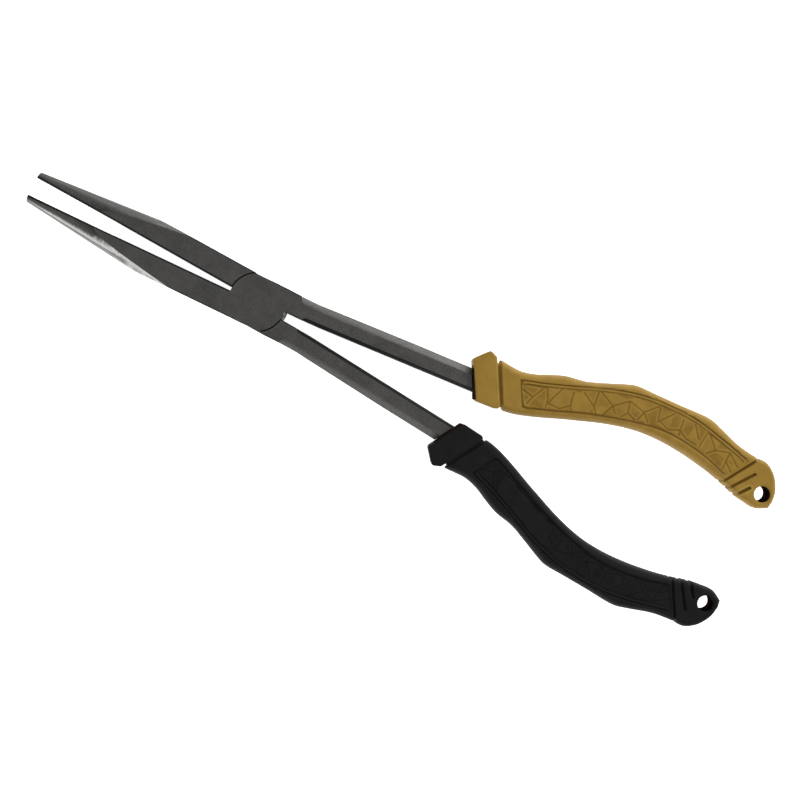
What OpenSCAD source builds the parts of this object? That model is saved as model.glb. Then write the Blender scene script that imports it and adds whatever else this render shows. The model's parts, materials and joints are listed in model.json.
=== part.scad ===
// Long-nose fishing pliers: two identical forged levers lapped at a flush rivet,
// each with a hard core, a soft skin and a guard collar on its handle end.
// Origin: on the pivot axis, in the joint's underside face. +X runs to the jaw
// tips, +Y to the jaw of the front lever, +Z up out of the joint's top face.

/* [Joint] */
// Thickness of the lap joint and of the jaws at their root
joint_t = 12; // [10:0.5:13]
// Radius of each lever's joint disc
disc_r = 10; // [9.8:0.05:10.1]
// Radial gap between a disc and the other lever's shoulder
shoulder_gap = 0.4; // [0.2:0.05:0.45]
// Half width of a lever across the joint
joint_half_w = 8.85; // [8.5:0.05:9.2]
// Gap between the two lapped faces
lap_gap = 0.1; // [0.06:0.02:0.2]
// Radius of the rivet's shank
rivet_r = 4; // [3:0.1:4.5]
// Radius of the rivet's flush countersunk heads
rivet_head_r = 5; // [4.6:0.1:6]
// Running clearance round the rivet in the front lever
rivet_clear = 0.05; // [0.02:0.01:0.1]

/* [Opening] */
// Angle of each lever from closed, as the pliers lie
rest_half_deg = 2.1; // [0:0.1:25]

/* [Jaws] */
// Distance from the pivot to the jaw tips
jaw_l = 88.4; // [80:0.2:98]
// Radius of the nose cone at the tips
nose_tip_r = 2.55; // [2:0.05:3]
// Growth of the nose cone's radius per millimetre
nose_slope = 0.133; // [0.12:0.001:0.145]
// Half of the gap between closed jaws at their root
jaw_gap_half = 0.28; // [0.2:0.02:0.4]
// Half of the gap between closed jaws at the tips
tip_gap_half = 0.04; // [0.02:0.01:0.1]
// Where the gripping teeth start
teeth_from = 54; // [40:1:70]
// Pitch of the gripping teeth
teeth_pitch = 1.2; // [0.8:0.1:2]
// Depth of the gripping teeth
teeth_d = 0.2; // [0.1:0.05:0.5]

/* [Tangs] */
// Half thickness of a tang where it meets the guard collar
tang_end_half_t = 5; // [4.5:0.1:5.4]
// Width of the bevel along a tang's outer edge
outer_bevel_w = 2.3; // [1.5:0.1:2.6]
// Width of the bevel along a tang's inner edge
inner_bevel_w = 1.15; // [0.8:0.05:1.3]
// Half thickness of a tang inside its handle
hidden_tang_half_t = 3.4; // [2.5:0.1:3.6]

/* [Handles] */
// Thickness of a grip across its two faces
grip_t = 14; // [13:0.5:15]
// Thickness of a grip's head round the lanyard hole
head_t = 10; // [9:0.5:11]
// Thickness of a guard collar
collar_t = 15; // [14.5:0.5:16]
// Length of a guard collar along the handle
collar_l = 8.8; // [8:0.1:9.2]
// Width of the groove between collar and grip
groove_w = 1; // [0.6:0.1:1.4]
// Slope of the groove and of the collar's front face
groove_deg = 61.5; // [59:0.5:64]
// Thickness of the soft skin at the edges of a grip
skin_edge_t = 2; // [1.6:0.1:2.2]
// Thickness of the soft skin over the faces of a grip
skin_face_t = 2; // [1.6:0.1:2.2]
// Depth of the textured panels and of the diagonal slots
panel_d = 0.5; // [0.3:0.1:0.8]
// Radius of the lanyard holes
lanyard_r = 2.8; // [2.5:0.1:3.1]
// Wall of the core's eyelet round a lanyard hole
eyelet_w = 0.6; // [0.4:0.1:0.7]

/* [Hidden] */
$fn = 96;

steel_colour = [0.27, 0.27, 0.26];
rivet_colour = [0.35, 0.35, 0.34];
core_colour = [0.07, 0.06, 0.07];
black_colour = [0.13, 0.13, 0.13];
gold_colour = [0.58, 0.47, 0.21];

mid_z = joint_t / 2;
shoulder_r = disc_r + shoulder_gap;
reach = 240; // longer than the pliers, for cutting shapes
head_cone_h = 1.5; // height of the rivet's countersunk heads
face_half_t = grip_t / 2;
core_half_t = face_half_t - skin_face_t;
flange_t = 0.5; // thickness of the core's flange at the collar's mouth
flange_in = 0.4; // how far the flange lies inside the collar's edge
collar_step_in = 0.9; // how far a collar's faces lie inside its edge
collar_step_d = 1.2; // depth of the step down from a face to the edge
neck_inset = 1.2; // depth of the groove at the handle's edges
neck_half_t = face_half_t - 1; // half thickness of the grip's neck
neck_l = 3; // length of the neck inside the collar
edge_land_half_t = 3.6; // half thickness of the flat band round a grip's edge
edge_step_half_t = 5.2; // half thickness of the step above that band
edge_step_in = 0.6; // how far the step lies inside the edge
face_in = 1.9; // how far a grip's flat face lies inside the edge
outer_bevel_d = 1.9; // depth of the bevels along a tang's outer edge
inner_bevel_d = 1.5; // depth of the bevels along its inner edge
taper_from = -155; // where a handle starts to thin towards its head
taper_to = -180; // where it has the head's thickness
thin_from = -12; // where a tang starts to thin towards its collar
thin_to = -80; // where it has its end thickness
lanyard_at = [-186.4, -14.5]; // middle of a lanyard hole
eyelet_half_t = 4.4; // half thickness of the core's eyelet
groove_at = [-88.1, -10.1]; // middle of the groove, half way across the handle

// Outer edge of a closed handle, from the collar to the head: x and distance below the axis
outer_edge = [[-76, -14.2], [-82, -17.8], [-88, -17.7], [-94, -17.7], [-99, -19.2], [-104, -21.4],
    [-108, -22.8], [-115, -24.1], [-122, -26.7], [-128, -29.1], [-132, -30.3], [-145, -30.5],
    [-158.5, -30.8], [-163, -29.8], [-168, -27.9], [-174, -26.2], [-184, -25.2], [-188, -22.5],
    [-190.2, -19], [-191.2, -14.5], [-190.4, -10.5]];
// Inner edge of a closed handle, from the head back to the collar
inner_edge = [[-186.5, -9.1], [-180, -10], [-172, -12.4], [-164, -14.4], [-155, -15.9], [-146, -16.4],
    [-136, -15.6], [-126, -13.1], [-114, -8.9], [-104, -5.1], [-98, -3.3], [-92, -2.4], [-84, -2],
    [-76, -1.7]];
// Border of the textured panel, outer side from the collar to the head, then inner side back
panel_edge = [[-94.6, -15], [-102, -17.2], [-112, -20.8], [-122, -24.6], [-132, -27.4], [-142, -28.5],
    [-154, -28.2], [-166, -25.8], [-179.5, -22.2], [-172.5, -14.8], [-162, -17.9], [-148, -19.7],
    [-136, -18.2], [-120, -13.9], [-108, -9.5], [-99, -6.3]];
// Outer side of a jaw before the nose is turned, from its middle back to the joint
jaw_back = [[43, 8.45], [20, 8.6], [0, joint_half_w]];
// Diagonal slots near the head: open end at the inner edge, blind end, and width
slots = [[[-171.6, -12], [-180.2, -25], 0.8], [[-174.6, -11.1], [-181.2, -19.7], 0.9],
    [[-178, -10.2], [-181.5, -14.6], 0.95]];
// The guard collar seen from above
collar_edge = [[-75.6, -14.2], [-80.2, -19.4], [-86, -17], [-94, -2.2], [-81.9, -1.4]];
// A tang from the joint to the collar: outer side, then inner side back
tang_edge = [[0, -joint_half_w], [-8, -8.75], [-14, -8.45], [-20, -8.4], [-30, -9], [-40, -9.55],
    [-56, -10.35], [-76, -11.2], [-86, -11.6], [-86, -4.1], [-66, -3.2], [-48, -2.4], [-32, -1.6],
    [-22, -1.2], [-14, -1.1], [-8, -1.1], [0, -2]];
// The tang's narrower end inside the handle
hidden_tang_edge = [[-74, -10], [-86, -11], [-100, -13.4], [-124, -21.5], [-150, -26], [-152, -22],
    [-124, -17.2], [-100, -8.4], [-88, -5.6], [-74, -4.6]];

// A point on the smooth curve between b and c, with a and d as the next points out
function curve_point(a, b, c, d, t) =
    0.5 * (2 * b + (c - a) * t + (2 * a - 5 * b + 4 * c - d) * t * t + (3 * b - a - 3 * c + d) * t * t * t);

// A smooth curve through an open list of points, with n steps in each span
function smooth(p, n) = concat([for (i = [0 : len(p) - 2], k = [0 : n - 1])
    curve_point(p[max(i - 1, 0)], p[i], p[i + 1], p[min(i + 2, len(p) - 1)], k / n)], [p[len(p) - 1]]);

// A closed outline moved inwards by d
function inset(p, d) = [for (i = [0 : len(p) - 1])
    let (run = p[(i + 1) % len(p)] - p[(i + len(p) - 1) % len(p)])
    p[i] + d * [run[1], -run[0]] / norm(run)];

handle_edge = smooth(concat(outer_edge, inner_edge), 2);

// Places a child of the front lever, and the same part turned over for the rear lever
module front_side() rotate([0, 0, rest_half_deg]) children();
module rear_side() rotate([0, 0, -rest_half_deg]) translate([0, 0, joint_t]) rotate([180, 0, 0]) children();

// A flat shape given thickness, centred on the pliers' middle plane
module slab(half_t) translate([0, 0, mid_z - half_t]) linear_extrude(2 * half_t) children();

// The strip of a handle between two distances behind the middle of the groove
module strip_behind(from, to) translate(groove_at) rotate(180 + 90 - groove_deg)
    translate([from, -reach / 2]) square([to - from, reach]);

// One jaw seen from above, with gripping teeth near its tip
module jaw_outline() {
    teeth = floor((jaw_l - 1 - teeth_from) / teeth_pitch);
    gap_at = function (x) jaw_gap_half + (tip_gap_half - jaw_gap_half) * max(0, x - 60) / (jaw_l - 60);
    polygon(concat([[0, jaw_gap_half], [teeth_from, jaw_gap_half]],
        [for (i = [0 : teeth - 1], k = [0 : 1]) let (x = teeth_from + (i + (k + 1) / 2) * teeth_pitch)
            [x, gap_at(x) + (k == 0 ? teeth_d : 0)]],
        [[jaw_l, tip_gap_half], [jaw_l, jaw_back[0][1]]], jaw_back));
}

// The tang in view, cut off along the collar's front face
module tang_outline() intersection() {
    polygon(tang_edge);
    strip_behind(-reach, -groove_w / 2 - collar_l);
}

// The part of a lever's outline that lies in one half of the lap
module lap_outline(with_disc) {
    if (with_disc) {
        jaw_outline();
        tang_outline();
        intersection() {
            circle(disc_r);
            square([reach, 2 * joint_half_w], center = true);
        }
    } else difference() {
        union() {
            jaw_outline();
            tang_outline();
        }
        circle(shoulder_r);
    }
}

// A bevel that starts in a round scoop, cut along a top edge from p to q
module bevel_cut(p, q, z0, z1, w, d) {
    run = q - p;
    along = norm(run);
    slant = norm([w, d]);
    side = w > 0 ? 1 : -1;
    translate([p[0], p[1], z0]) rotate([0, 0, atan2(run[1], run[0])])
        rotate([0, -atan2(z1 - z0, along), 0]) translate([0, 0, -d]) rotate([side * atan2(d, abs(w)), 0, 0])
        linear_extrude(8) {
            translate([0, -slant]) square([along, 2 * slant]);
            circle(slant);
        }
}

// All bevels of a tang on its top side
module tang_bevels() {
    z_at = function (x) mid_z + tang_half_t(x);
    bevel_cut([-16, -8.4], [-26, -8.65], z_at(-16), z_at(-26), -outer_bevel_w, outer_bevel_d);
    bevel_cut([-24, -8.55], [-86, -11.65], z_at(-24), z_at(-86), -outer_bevel_w, outer_bevel_d);
    bevel_cut([-18, -1.1], [-86, -4], z_at(-18), z_at(-86), inner_bevel_w, inner_bevel_d);
}

// Half thickness of the visible tang at a distance along the handle
function tang_half_t(x) = let (part = (x - thin_from) / (thin_to - thin_from))
    mid_z - (mid_z - tang_end_half_t) * min(1, max(0, part));

// Side view of the tang and jaw: full thickness at the joint, thinner towards the collar
module side_profile() rotate([90, 0, 0]) linear_extrude(reach, center = true) polygon([
    [jaw_l, 0], [thin_from, 0], [thin_to, mid_z - tang_end_half_t], [-90, mid_z - tang_end_half_t],
    [-90, mid_z + tang_end_half_t], [thin_to, mid_z + tang_end_half_t],
    [thin_from, joint_t], [jaw_l, joint_t]]);

// The round nose that the two jaws share
module nose_cone() translate([-10, 0, mid_z]) rotate([0, 90, 0])
    cylinder(h = jaw_l + 10, r1 = nose_tip_r + nose_slope * (jaw_l + 10), r2 = nose_tip_r);

// The jaw, disc and tang before the rivet hole, with the nose and the bevels cut
module lever_blank() {
    difference() {
        union() {
            translate([0, 0, mid_z + lap_gap / 2]) linear_extrude(mid_z - lap_gap / 2) lap_outline(true);
            linear_extrude(mid_z + lap_gap) lap_outline(false);
        }
        difference() {
            translate([disc_r, -reach / 2, -1]) cube([reach, reach, joint_t + 2]);
            nose_cone();
        }
        tang_bevels();
        translate([0, 0, joint_t]) mirror([0, 0, 1]) tang_bevels();
    }
}

// One forged lever in its closed place: jaw at +Y, tang at -Y, disc in the upper half
module lever(bore_r) {
    difference() {
        union() {
            intersection() {
                lever_blank();
                side_profile();
            }
            slab(hidden_tang_half_t) polygon(hidden_tang_edge);
        }
        translate([0, 0, -1]) cylinder(h = joint_t + 2, r = bore_r);
        translate([0, 0, joint_t - head_cone_h]) cylinder(h = head_cone_h,
            r1 = bore_r, r2 = bore_r + rivet_head_r - rivet_r);
    }
}

// The rivet: a shank with a flush cone at each end
module rivet() {
    cylinder(h = joint_t, r = rivet_r);
    cylinder(h = head_cone_h, r1 = rivet_head_r, r2 = rivet_r);
    translate([0, 0, joint_t - head_cone_h]) cylinder(h = head_cone_h, r1 = rivet_r, r2 = rivet_head_r);
}

// The handle's outline moved inwards, behind a distance from the groove
module handle_outline(d, from) intersection() {
    polygon(inset(handle_edge, d));
    strip_behind(from, reach);
}

// Side view of a handle: full thickness, thinning to the head; less is taken off each face
module handle_profile(less) rotate([90, 0, 0]) linear_extrude(reach, center = true) {
    face = face_half_t - less;
    head = head_t / 2 - less;
    polygon([[-70, mid_z - face], [-70, mid_z + face], [taper_from, mid_z + face], [taper_to, mid_z + head],
        [-200, mid_z + head], [-200, mid_z - head], [taper_to, mid_z - head], [taper_from, mid_z - face]]);
}

// The through hole for a lanyard
module lanyard_hole() translate([lanyard_at[0], lanyard_at[1], -reach / 2])
    cylinder(h = reach, r = lanyard_r);

// The ring of hard core round the lanyard hole
module eyelet() translate([lanyard_at[0], lanyard_at[1], mid_z - eyelet_half_t])
    cylinder(h = 2 * eyelet_half_t, r = lanyard_r + eyelet_w);

// The hard core: a sleeve from the collar's mouth to the lanyard hole, with a front flange
module grip_core() {
    difference() {
        union() {
            intersection() {
                slab(core_half_t) handle_outline(skin_edge_t, -groove_w / 2 - collar_l);
                handle_profile(skin_face_t / 2);
            }
            slab(collar_t / 2 - flange_in) intersection() {
                collar_outline(0);
                polygon(inset(collar_edge, flange_in));
                strip_behind(-reach, flange_t - groove_w / 2 - collar_l);
            }
            eyelet();
        }
        slab(hidden_tang_half_t) polygon(hidden_tang_edge);
        lanyard_hole();
    }
}

// The collar's outline between its front face and the groove, moved inwards by d
module collar_outline(d) intersection() {
    polygon(inset(collar_edge, d));
    strip_behind(d - groove_w / 2 - collar_l, -groove_w / 2 - d);
}

// The guard collar, a ring round the core's front end and the grip's neck
module collar() {
    difference() {
        union() {
            slab(collar_t / 2 - collar_step_d) collar_outline(0);
            slab(collar_t / 2) collar_outline(collar_step_in);
        }
        slab(core_half_t) handle_outline(skin_edge_t, -reach);
        slab(neck_half_t) handle_outline(neck_inset, -groove_w / 2 - neck_l);
        slab(reach) strip_behind(-reach, flange_t - groove_w / 2 - collar_l);
    }
}

// A diagonal slot across a grip's face, open at the inner edge
module slot(from, to, w) {
    run = to - from;
    translate(from) rotate(atan2(run[1], run[0])) {
        translate([-3, -w / 2]) square([norm(run) + 3, w]);
        translate([norm(run), 0]) circle(w / 2);
    }
}

// What is cut out of a grip's two faces
module face_cuts() {
    polygon(smooth(panel_edge, 2));
    for (s = slots) slot(s[0], s[1], s[2]);
}

// The soft grip: a skin over the core, with a neck that enters the collar
module grip() {
    difference() {
        union() {
            intersection() {
                union() {
                    slab(edge_land_half_t) handle_outline(0, groove_w / 2);
                    slab(edge_step_half_t) handle_outline(edge_step_in, groove_w / 2);
                    slab(face_half_t) handle_outline(face_in, groove_w / 2);
                }
                handle_profile(0);
            }
            slab(neck_half_t) intersection() {
                handle_outline(neck_inset, -groove_w / 2 - neck_l + 0.1);
                strip_behind(-reach, 2 * groove_w);
            }
        }
        intersection() {
            slab(core_half_t) handle_outline(skin_edge_t, -reach);
            handle_profile(skin_face_t / 2);
        }
        difference() {
            slab(reach / 2) face_cuts();
            handle_profile(panel_d);
        }
        eyelet();
        lanyard_hole();
    }
}

module rear_lever() color(steel_colour) rear_side() lever(rivet_r);
module front_lever() color(steel_colour) front_side() lever(rivet_r + rivet_clear);
module pivot_rivet() color(rivet_colour) rivet();
module rear_grip_core() color(core_colour) rear_side() grip_core();
module front_grip_core() color(core_colour) front_side() grip_core();
module rear_collar() color(black_colour) rear_side() collar();
module front_collar() color(gold_colour) front_side() collar();
module rear_grip() color(black_colour) rear_side() grip();
module front_grip() color(gold_colour) front_side() grip();

rear_lever();
front_lever();
pivot_rivet();
rear_grip_core();
front_grip_core();
rear_collar();
front_collar();
rear_grip();
front_grip();
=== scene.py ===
"""Looks for the long-nose fishing pliers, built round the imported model.

Handles and collars are modelled once, in millimetres, in the closed place of the front lever:
the pivot is at x = 0, y = 0, the handle runs to -X and bends to -Y, and z = 0 is the middle
plane. The rear side is the same part turned over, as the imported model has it.
"""
import json
import math

import bmesh
import bpy
import numpy as np
from mathutils import Matrix, Vector
from mathutils.geometry import delaunay_2d_cdt


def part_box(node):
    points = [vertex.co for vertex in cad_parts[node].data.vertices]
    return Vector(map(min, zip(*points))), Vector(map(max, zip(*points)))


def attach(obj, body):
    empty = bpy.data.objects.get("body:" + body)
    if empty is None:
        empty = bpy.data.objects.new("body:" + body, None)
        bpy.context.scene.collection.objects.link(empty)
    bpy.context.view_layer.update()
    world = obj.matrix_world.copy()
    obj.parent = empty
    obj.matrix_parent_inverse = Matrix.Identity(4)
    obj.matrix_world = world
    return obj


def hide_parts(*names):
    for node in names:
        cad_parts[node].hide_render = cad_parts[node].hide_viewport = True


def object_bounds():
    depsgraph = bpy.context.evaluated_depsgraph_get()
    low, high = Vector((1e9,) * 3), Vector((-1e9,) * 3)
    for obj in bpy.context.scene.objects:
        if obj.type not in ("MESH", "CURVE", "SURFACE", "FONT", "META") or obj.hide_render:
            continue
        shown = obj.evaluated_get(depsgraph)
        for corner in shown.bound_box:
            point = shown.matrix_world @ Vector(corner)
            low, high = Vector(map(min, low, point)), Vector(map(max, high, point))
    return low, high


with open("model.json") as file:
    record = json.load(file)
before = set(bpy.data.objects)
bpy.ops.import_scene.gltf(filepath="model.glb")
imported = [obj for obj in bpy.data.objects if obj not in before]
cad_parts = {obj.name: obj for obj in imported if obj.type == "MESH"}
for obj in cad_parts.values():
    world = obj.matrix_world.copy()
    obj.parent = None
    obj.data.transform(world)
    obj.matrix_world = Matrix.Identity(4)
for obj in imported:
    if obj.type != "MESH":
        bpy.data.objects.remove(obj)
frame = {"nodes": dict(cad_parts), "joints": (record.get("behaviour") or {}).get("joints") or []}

MM = 0.001
cad_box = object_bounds()
joint = frame["joints"][0]
pivot_low, pivot_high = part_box("pivot_rivet")
MID_Z = (pivot_low.z + pivot_high.z) / 2 / MM
REST_DEG = -joint["range_deg"][0] / 2  # each lever's angle from closed, as the pliers lie

# ---------------------------------------------------------------- the handle's shape, mm
GROOVE_AT = np.array([-88.1, -10.1])  # middle of the groove between collar and grip
GROOVE_DEG = 61.5
GROOVE_W = 1.0
COLLAR_L = 8.8
FLANGE_T = 0.5
COLLAR_HALF_T = 7.5
FACE_HALF_T = 7.0
HEAD_HALF_T = 5.0
TAPER_X = (-155.0, -180.0)  # where a grip thins from its full thickness to its head's
SKIN_T = 2.0
EASE = 0.02  # by which a cut stays off the piece that lies in it
CORE_HALF_T = (5.0, 4.0)  # the core's half thickness along the handle and in the head
CORE_TAPER_X = (-167.5, -180.0)
NECK_INSET = 1.2
NECK_L = 2.9
NECK_HALF_T = 6.0
LANYARD_AT = (-186.4, -14.5)
LANYARD_R = 2.8
EYELET_R = 3.4  # the core's ring round the hole
EYELET_HALF_T = 4.4

# Stations along a handle: a point on the outer edge and the point across from it on the inner one
STATIONS = [
    ((-72, -11.5), (-78, -1.6)), ((-79, -15.8), (-86, -2)),
    ((-84.6, -18.1), (-92.85, -2.4)), ((-88.5, -17.8), (-95.5, -2.75)), ((-93, -17.65), (-98.5, -3.4)),
    ((-98, -18.85), (-102.5, -4.65)), ((-103, -21), (-107, -6.25)), ((-108, -22.85), (-112, -8.2)),
    ((-115, -24.1), (-119, -10.7)), ((-122, -26.7), (-125.5, -12.95)), ((-128, -29.15), (-131, -14.5)),
    ((-132, -30.3), (-135.5, -15.5)), ((-139, -30.4), (-141, -16.25)), ((-148.5, -30.55), (-148, -16.4)),
    ((-158.5, -30.8), (-155.5, -15.8)), ((-164, -29.4), (-160.5, -15.05)), ((-172, -26.7), (-167, -13.8)),
    ((-179, -25.5), (-173, -12.2)), ((-184, -25.2), (-178.8, -10.35)), ((-188.1, -22.2), (-183.3, -9.55)),
    ((-190.7, -17.6), (-187, -9.2)), ((-191.3, -13.4), (-190.8, -11)),
]
GROOVE_STATION = 2  # the station that lies along the groove's rear wall

# The guard collar seen from above
COLLAR_EDGE = [(-75.6, -14.2), (-80.2, -19.4), (-86, -17), (-94, -2.2), (-81.9, -1.4)]

# Diagonal slots over the head: from, to and width
SLOTS = [((-171.6, -12), (-180.2, -25), 0.8), ((-174.6, -11.1), (-181.2, -19.7), 0.9),
         ((-178, -10.2), (-181.5, -14.6), 0.95)]

# Border of the moulded panel: the outer side to the first slot, then the inner side back
PANEL_OUTER = [(-94.6, -15), (-102, -17.2), (-112, -20.8), (-122, -24.6), (-132, -27.4), (-142, -28.5),
               (-154, -28.2), (-166, -25.8), (-181, -21.8)]
PANEL_INNER = [(-175, -13.8), (-162, -17.9), (-148, -19.7), (-136, -18.2), (-120, -13.9), (-108, -9.5),
               (-99, -6.3)]

# Folds between the panel's flat facets
FOLDS = [
    [(-95.5, -13.8), (-101.5, -15.6)], [(-95.5, -12), (-100, -11), (-99, -8)],
    [(-102.5, -16), (-100, -11)], [(-103.2, -16.2), (-105, -12.5), (-105.5, -9.5)],
    [(-108.2, -18.2), (-105.6, -11.2), (-110, -11.3), (-113, -13.8), (-114, -12.3)],
    [(-112.2, -18.6), (-113, -13.8)], [(-115.5, -20), (-120.5, -17), (-122, -15.3)],
    [(-120, -22.3), (-120.5, -17)], [(-121, -22.6), (-126.3, -20), (-128, -18)],
    [(-126.3, -20), (-124.5, -15.8)], [(-126.3, -20), (-131, -24), (-137, -22.6), (-139.5, -20)],
    [(-131, -24), (-132, -20), (-130.5, -18)], [(-132, -20), (-135, -18.8)],
    [(-137, -22.6), (-136, -19.3)], [(-137, -22.6), (-141, -26.8)], [(-141.5, -26.5), (-142.7, -21.5)],
    [(-146.8, -26.8), (-143, -22), (-147, -20.7), (-150.8, -22.3)],
    [(-150.5, -26), (-150.8, -22.3), (-151.2, -20.5)], [(-154.8, -26.3), (-158, -22.3)],
    [(-150.8, -22.3), (-154, -20.5), (-158, -20.2)], [(-160, -26.5), (-159.3, -20)],
    [(-161, -25.5), (-165, -21.3), (-162.5, -19)], [(-165, -21.3), (-170, -22.7), (-175, -19)],
    [(-170, -22.7), (-170, -19.5), (-170, -16.5)], [(-170, -19.5), (-173.5, -16.5)],
]
PLATE_X = (-103.5, -127.5)  # the stretch of the other face's panel that is one smooth plate
PANEL_FRONT = 7.1  # how far behind the groove the panel starts
PANEL_REAR = 0.5  # how far before the first slot it ends
PANEL_CORNER_R = (1.2, 1.6)  # rounding of its sides into each other and of its sides into its ends

# Lines beside the panel's border, a fold, the plate's rim and a slot's wall: distance and half width
BORDER_LINE = (0.1, 0.42)
BORDER_WIDER = 0.26  # added to the half width on the inner side
SECOND_LINE = (1.15, 0.36)
RIDGE_LINE = (0.64, 0.36)
LIP_LINE = (-0.62, 0.5)
FOLD_LINE = (0, 0.48)
FOLD_LIP_LINE = (0.62, 0.4)
PLATE_LINE = (0, 0.45)
SLOT_LIP_LINE = (0.5, 0.35)
WALL_W = 0.3  # width of the wall between two levels
SLOT_WALL_W = 0.34
SLOT_RUN_OUT = (3, 2.5)  # past the inner side, and past the outer one for the first slot

# How dark the painted shade in each groove and how pale the painted highlight on each raised line are,
# beside the border line's 1
PAINTED_SHADE = {"second": 0.7, "fold": 0.72, "facet": 0.38, "plate_rim": 0.5}
PAINTED_HIGHLIGHT = {"lip": 0.7, "ridge": 0.8, "fold_lip": 0.75, "slot_lip": 0.9}

# Depths of the relief below the plain skin
PANEL_DEPTH = 0.12
FACET_DEPTH = 0.14
FACET_RANGE = 0.5  # between the highest and the lowest corner of the facets
FOLD_DEPTH = 0.1
PLATE_DEPTH = 0.2
BORDER_DEPTH = 0.4
SECOND_DEPTH = 0.16
SLOT_DEPTH = 0.6
LIP_HEIGHT = 0.07

LINE_STEPS = 8  # pieces of a curve between two of its points


def spline(points, steps):
    """A smooth curve through an open list of points."""
    p = np.array(points, float)
    p = np.vstack([p[:1], p, p[-1:]])
    t = np.arange(steps)[:, None] / steps
    runs = []
    for a, b, c, d in zip(p[:-3], p[1:-2], p[2:-1], p[3:]):
        cubic = 3 * b - a - 3 * c + d
        square = 2 * a - 5 * b + 4 * c - d
        runs.append(0.5 * (2 * b + (c - a) * t + square * t**2 + cubic * t**3))
    return np.vstack(runs + [p[-1:]])


def offset(xy, a, b):
    """Where each point lies as seen from the nearest place on the straight piece from a to b."""
    run = b - a
    t = np.clip(((xy - a) @ run) / (run @ run), 0, 1)
    return xy - a - t[:, None] * run


def distance(xy, line):
    """Distance of each point from a line of joined straight pieces."""
    offs = [offset(xy, a, b) for a, b in zip(line[:-1], line[1:])]
    return np.linalg.norm(offs, axis=2).min(axis=0)


def beside(xy, line):
    """Distance of each point to the right of a line of joined straight pieces."""
    best, side = np.full(len(xy), np.inf), np.zeros(len(xy))
    for a, b in zip(line[:-1], line[1:]):
        run, off = b - a, offset(xy, a, b)
        away = np.linalg.norm(off, axis=1)
        nearer = away < best
        best = np.where(nearer, away, best)
        side = np.where(nearer, np.sign(off[:, 0] * run[1] - off[:, 1] * run[0]), side)
    return best * side


def step(x):
    """0 below 0, 1 above 1, and a smooth step between."""
    t = np.clip(x, 0, 1)
    return t * t * (3 - 2 * t)


def soft_min(a, b, radius):
    """The lower of two distances, with the corner between them rounded."""
    h = np.clip(0.5 + 0.5 * (b - a) / radius, 0, 1)
    return b + (a - b) * h - radius * h * (1 - h)


BACK = np.array([-math.sin(math.radians(GROOVE_DEG)), -math.cos(math.radians(GROOVE_DEG))])


def behind_groove(xy):
    """Distance of each point behind the middle of the groove."""
    return (np.asarray(xy, float) - GROOVE_AT) @ BACK


def tapered(x, span, ends):
    """A measure of the handle that passes from one end's to the other's over a span of x."""
    part = np.clip((span[0] - x) / (span[0] - span[1]), 0, 1)
    return ends[0] - (ends[0] - ends[1]) * part


OUTER_LINE = spline([s[0] for s in STATIONS], LINE_STEPS)
INNER_LINE = spline([s[1] for s in STATIONS], LINE_STEPS)
PANEL_SIDES = [spline(PANEL_OUTER, LINE_STEPS), spline(PANEL_INNER, LINE_STEPS)]


# ---------------------------------------------------------------- relief of a grip's faces
def facet_mesh():
    """Triangles between the folds and the panel's border, with a height at each corner."""
    corners = sorted({p for fold in FOLDS for p in fold})
    rim = PANEL_OUTER + PANEL_INNER
    lines = [(corners.index(a), corners.index(b)) for fold in FOLDS for a, b in zip(fold[:-1], fold[1:])]
    lines += [(len(corners) + i, len(corners) + (i + 1) % len(rim)) for i in range(len(rim))]
    flat = [Vector(p) for p in corners + rim]
    points, _, faces, *_ = delaunay_2d_cdt(flat, lines, [], 0, 1e-6)
    heights = np.random.default_rng(11).uniform(0, 1, len(points))
    return np.array([tuple(p) for p in points]), np.array(faces), heights


def facet_height(xy):
    """Height and tone of the facets at each point, from 0 to 1. The tone is painted shade, set facet by
    facet.
    """
    points, faces, heights = facet_mesh()
    height, tone = np.full(len(xy), 0.5), np.zeros(len(xy))
    for face in faces:
        a, b, c = points[face]
        area = (b[0] - a[0]) * (c[1] - a[1]) - (b[1] - a[1]) * (c[0] - a[0])
        u = ((b[0] - xy[:, 0]) * (c[1] - xy[:, 1]) - (b[1] - xy[:, 1]) * (c[0] - xy[:, 0])) / area
        v = ((c[0] - xy[:, 0]) * (a[1] - xy[:, 1]) - (c[1] - xy[:, 1]) * (a[0] - xy[:, 0])) / area
        w = 1 - u - v
        inside = (u >= 0) & (v >= 0) & (w >= 0)
        height[inside] = (u * heights[face[0]] + v * heights[face[1]] + w * heights[face[2]])[inside]
        # Painted shade that makes each facet lighter or darker, in place of its own light and shade
        tone[inside] = step(heights[face[0]] - heights[face[1]] + heights[face[2]])
    return height, tone


def mark(away, middle, half_w):
    """1 where a distance is at the middle of a line, falling to 0 at its half width."""
    return step(1 - np.abs(away - middle) / half_w)


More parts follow.
